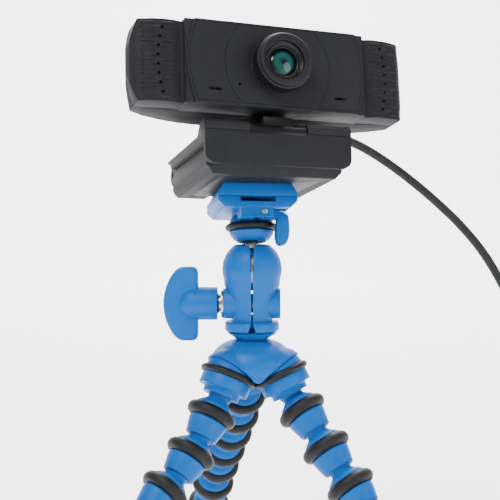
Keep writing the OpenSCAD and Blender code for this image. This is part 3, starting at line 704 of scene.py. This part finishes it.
def wing_curve():
    """Points along the front of a wing with their outward directions, in steps of equal length."""
    plan = [Vector((*p, 0)) for p in WING_PLAN]
    dense = smooth_route(plan)
    points = [dense[0]]
    travelled = 0
    for a, b in zip(dense, dense[1:]):
        while (b - a).length + travelled >= WING_STEP:
            a = a + (b - a).normalized() * (WING_STEP - travelled)
            travelled = 0
            points.append(a.copy())
        travelled += (b - a).length
    points = [p for p in points if p.x < WING_END_X]
    result = []
    for i, p in enumerate(points):
        along = points[min(i + 1, len(points) - 1)] - points[max(i - 1, 0)]
        result.append((p, Vector((along.y, -along.x, 0)).normalized()))
    return result


def wing_hole_columns():
    return [(42.6 - 0.12 * i * i, i * 2 * RIB_ROW) for i in [k - 3.5 for k in range(8)]]


def rib_height(x, z):
    row = round(z / RIB_ROW)
    across = (RIB_WIDTH / 2 - abs(z - row * RIB_ROW)) / 0.24
    start = 42.6 + (RIB_PITCH / 2 if row % 2 == 0 else 0)
    offset = (x - start + RIB_PITCH / 2) % RIB_PITCH - RIB_PITCH / 2
    along = (RIB_LENGTH / 2 - abs(offset)) / 0.35
    inside = min((x - RIB_START_X) / 0.6, (RIB_END_X - x) / 0.6, (WING_HALF_H - 0.5 - abs(z)) / 0.3)
    return RIB_HEIGHT * smooth_step(across) * smooth_step(along) * smooth_step(inside)


def wing_mesh(side):
    """A skin on the front of one wing with staggered ribs and a bowed column of small holes, whose faces take the
    near-black rubber as painted shade.
    """
    curve = wing_curve()
    rows = int(2 * WING_HALF_H / WING_STEP)
    holes = wing_hole_columns()
    verts = []
    painted_shade_pits = set()
    for i, (point, out) in enumerate(curve):
        for j in range(rows + 1):
            x, z = point.x, -WING_HALF_H + 2 * WING_HALF_H * j / rows
            lift = WING_PROUD + rib_height(x, z)
            shift = Vector((0, 0))
            for hole in holes:
                away = Vector((x - hole[0], z - hole[1]))
                if away.length < WING_HOLE_R + WING_STEP * 0.6:
                    if away.length > WING_HOLE_R - WING_STEP * 0.6:
                        shift = away.normalized() * WING_HOLE_R - away
                    else:
                        lift = -WING_HOLE_DEEP
                        painted_shade_pits.add(len(verts))
            if i in (0, len(curve) - 1) or j in (0, rows):
                lift = -0.5
            spot = point + out * lift + Vector((shift.x, 0, 0))
            verts.append((side * spot.x * MM, spot.y * MM, (z + shift.y) * MM))
    faces = []
    for i in range(len(curve) - 1):
        for j in range(rows):
            a = i * (rows + 1) + j
            face = (a, a + rows + 1, a + rows + 2, a + 1)
            faces.append(face if side > 0 else face[::-1])
    mesh = bpy.data.meshes.new("wing_skin")
    mesh.from_pydata(verts, [], faces)
    mesh.materials.append(MATERIALS["graphite_plastic"])
    # Second material, near-black rubber: painted shade on the faces inside the small holes
    mesh.materials.append(MATERIALS["black_rubber"])
    for polygon in mesh.polygons:
        if painted_shade_pits.intersection(polygon.vertices):
            polygon.material_index = 1
    smooth_shading(mesh, 60)
    return mesh


FOCUS_TEETH = 84
FOCUS_TOOTH_DEEP = 0.34
GRIP_OUTLINE = [(7.9, 0.3), (9.7, 0.3), (10.1, 0.7), (10.2, 0.95), (10.2, 1.1), (10.2, 2), (10.2, 4),
                (10.2, 6.3), (10.2, 6.45), (10.1, 6.7), (9.7, 7.1), (7.9, 7.1)]
FOCUS_FRONT_OUTLINE = [(9.5, 7.05), (9.62, 7.5, 0.1), (9.5, 8.2, 0.2), (9, 8.78, 0.25), (8.4, 8.7, 0.2),
                       (7.6, 7.6, 0.2), (7.1, 7.4, 0.1), (7.1, 6.9)]
LENS_INSIDE_OUTLINE = [(7.65, -6.4), (7.65, 6.35, 0.1), (6.9, 6.35, 0.15), (6.2, 5.6, 0.1), (5.6, 5.5, 0.1),
                       (5.2, 5.6, 0.1), (4.9, 5.3, 0.05), (4.9, 3.1), (4.3, 3.1), (4.3, -4), (5.5, -4),
                       (5.5, -6.4)]
LENS_DOME_R = 9
LENS_DOME_TOP = 5.8
LENS_DOME_ANGLE = 32.6
LENS_DOME_STEPS = 20
LENS_BACK = [(4.85, 3.4), (0, 3.4)]
LENS_TURN = Matrix.Rotation(math.pi / 2, 4, "X")


def focus_ripple(angle, radius, z):
    if radius < 10.1 or not 1 < z < 6.5:
        return radius
    return radius - FOCUS_TOOTH_DEEP * (0.5 - 0.5 * math.cos(FOCUS_TEETH * angle)) ** 0.7


def add_lens():
    lens = BAR @ Matrix.Translation((0, (BAR_FRONT - PANEL_T) * MM, 0)) @ LENS_TURN
    grip = lathe("focus_grip", GRIP_OUTLINE, FOCUS_TEETH * 6, focus_ripple)
    place("focus_grip", grip, lens, "focus", "black_rubber", ["focus_ring"])
    front = lathe("focus_front", rounded(FOCUS_FRONT_OUTLINE), 120)
    place("focus_front", front, lens, "focus", "graphite_plastic")
    barrel = lathe("lens_inside", rounded(LENS_INSIDE_OUTLINE), 120)
    place("lens_inside", barrel, lens, "webcam", "gloss_black", ["lens_barrel"])
    angles = [math.radians(LENS_DOME_ANGLE * k / LENS_DOME_STEPS) for k in range(LENS_DOME_STEPS + 1)]
    dome = [(LENS_DOME_R * math.sin(a),
            LENS_DOME_TOP - LENS_DOME_R + LENS_DOME_R * math.cos(a)) for a in angles]
    glass = lathe("lens_front", dome + LENS_BACK, 96)
    place("lens_front", glass, lens, "webcam", "lens_glass", ["lens_glass"])


def add_webcam():
    names = ("panel_rim", "panel_centre", "panel_left", "panel_right")
    for name, mesh in zip(names, face_panel_meshes()):
        place(name, mesh, BAR, "webcam", "graphite_plastic", ["face_panel"] if name == "panel_rim" else ())
    for side, name in ((-1, "wing_skin_left"), (1, "wing_skin_right")):
        place(name, wing_mesh(side), BAR, "webcam", "graphite_plastic")
    add_lens()


# ---- Knob and hub cap ----
KNOB_WING = (-32.6, -19.8)
KNOB_HALF_H = 13.6
KNOB_ARC_R = 19.4
KNOB_THICK = 6.2
KNOB_BARREL_R = 6.1
KNOB_FACE = -12.7


def knob_wing_outline():
    """The wing seen from the front: an arc on the outside and rounded corners on the inside."""
    outside, inside = KNOB_WING
    centre = outside + KNOB_ARC_R
    half = math.degrees(math.asin(KNOB_HALF_H / KNOB_ARC_R))
    corner = centre - KNOB_ARC_R * math.cos(math.radians(half))
    edge = arc((centre, 0), KNOB_ARC_R, 180 - half + 9, 180 + half - 9, 30)
    return rounded([(inside, KNOB_HALF_H, 2.6), (corner, KNOB_HALF_H, 2.4)] + edge
                   + [(corner, -KNOB_HALF_H, 2.4), (inside, -KNOB_HALF_H, 2.6)], closed=True)


def add_knob():
    centre = HUB @ Matrix.Translation((0, 0, KNOB_HEIGHT * MM))
    wing = extruded("knob_wing", [knob_wing_outline()], -KNOB_THICK / 2, KNOB_THICK / 2, 1.3, "xz")
    place("knob_wing", wing, centre, "knob", "blue_plastic", ["clamp_knob"])
    end = KNOB_WING[1] - 1.5
    dome = [(KNOB_BARREL_R * math.sin(math.radians(a)), end - KNOB_BARREL_R * math.cos(math.radians(a)))
            for a in [90 * k / 16 for k in range(17)]]
    outline = dome + rounded([(KNOB_BARREL_R, end), (KNOB_BARREL_R, KNOB_FACE, 0.4), (4.6, KNOB_FACE, 0.2),
                              (4.4, KNOB_FACE - 2)])[1:] + [(0, KNOB_FACE - 2)]
    barrel = lathe("knob_barrel", outline, 96)
    along = centre @ Matrix.Rotation(math.pi / 2, 4, "Y")
    place("knob_barrel", barrel, along, "knob", "blue_plastic")


SOCKET_DOME_R = 9.2
SOCKET_DOME_AT = (11.3, -12.5)
SOCKET_BEARINGS = (220, 340, 100)
CAP_LOBE = 0.9
CAP_EDGE = (15, -6.6)
CAP_SLOPE = 45
CAP_DROP = 14


def add_hub_cap():
    """A domed cap with a lobe over each socket, cut off by a sloping plane across each leg."""
    dome = lathe("hub_cap", [(2.2, 0)] + rounded([(2.2, 0), (6.4, 0, 0.3), (10.4, -1.3, 1), (13.4, -3.6, 1),
                             (15.2, -6.4, 1), (15.7, -9, 1), (15.5, -12, 1), (14.6, -16)])[1:] + [(2.2,
                                                                                                  -16)], 144)
    lobes, tools = [], []
    for bearing in SOCKET_BEARINGS:
        turn = Matrix.Rotation(math.radians(bearing), 4, "Z")
        at = turn @ Matrix.Translation((SOCKET_DOME_AT[0] * MM, 0, SOCKET_DOME_AT[1] * MM))
        for radius, target in ((SOCKET_DOME_R + CAP_LOBE, lobes), (SOCKET_DOME_R + 0.06, tools)):
            ball = lathe("ball", [(radius * math.sin(math.radians(a)), -radius * math.cos(math.radians(a)))
                                  for a in [180 * k / 36 for k in range(37)]], 96)
            ball.transform(at)
            target.append(ball)
        block = lathe("block", [(0, 0), (40, 0), (40, 40), (0, 40)], 48)
        block.transform(turn @ Matrix.Translation((CAP_EDGE[0] * MM, 0, CAP_EDGE[1] * MM))
                        @ Matrix.Rotation(math.radians(180 - CAP_SLOPE), 4, "Y"))
        tools.append(block)
    for radius, low, high in ((6, -45, -5), (60, -60, -CAP_DROP)):
        tools.append(lathe("block", [(0, low), (radius, low), (radius, high), (0, high)], 96))
    cap = combined("hub_cap_shell", combined("hub_cap_dome", dome, lobes, "UNION"), tools, "DIFFERENCE",
                   0.3, 35)
    place("hub_cap_shell", cap, HUB, "tripod_hub", "blue_plastic", ["hub_cap"])


def add_mic_ramps():
    """The slope at the outer end of each microphone slot."""
    inside = MIC_AT[0] + MIC_SLOT[0] / 2
    for side, name in ((-1, "mic_ramp_left"), (1, "mic_ramp_right")):
        slope = [(inside, BAR_FRONT + 0.1), (inside + MIC_RAMP, BAR_FRONT - PANEL_T + 0.25),
                 (inside + MIC_RAMP, BAR_FRONT + 0.1)]
        outline = [(side * x, y) for x, y in slope]
        half = MIC_SLOT[1] / 2 - MIC_CLEAR
        mesh = extruded(name, [outline], MIC_AT[1] - half, MIC_AT[1] + half, MIC_CLEAR)
        place(name, mesh, BAR, "webcam", "graphite_plastic")


dress_cad_nodes()
add_camera()
add_lights()
add_floor(FLOOR_MATERIAL)
add_cable()
add_legs()
add_webcam()
add_mic_ramps()
add_knob()
add_hub_cap()
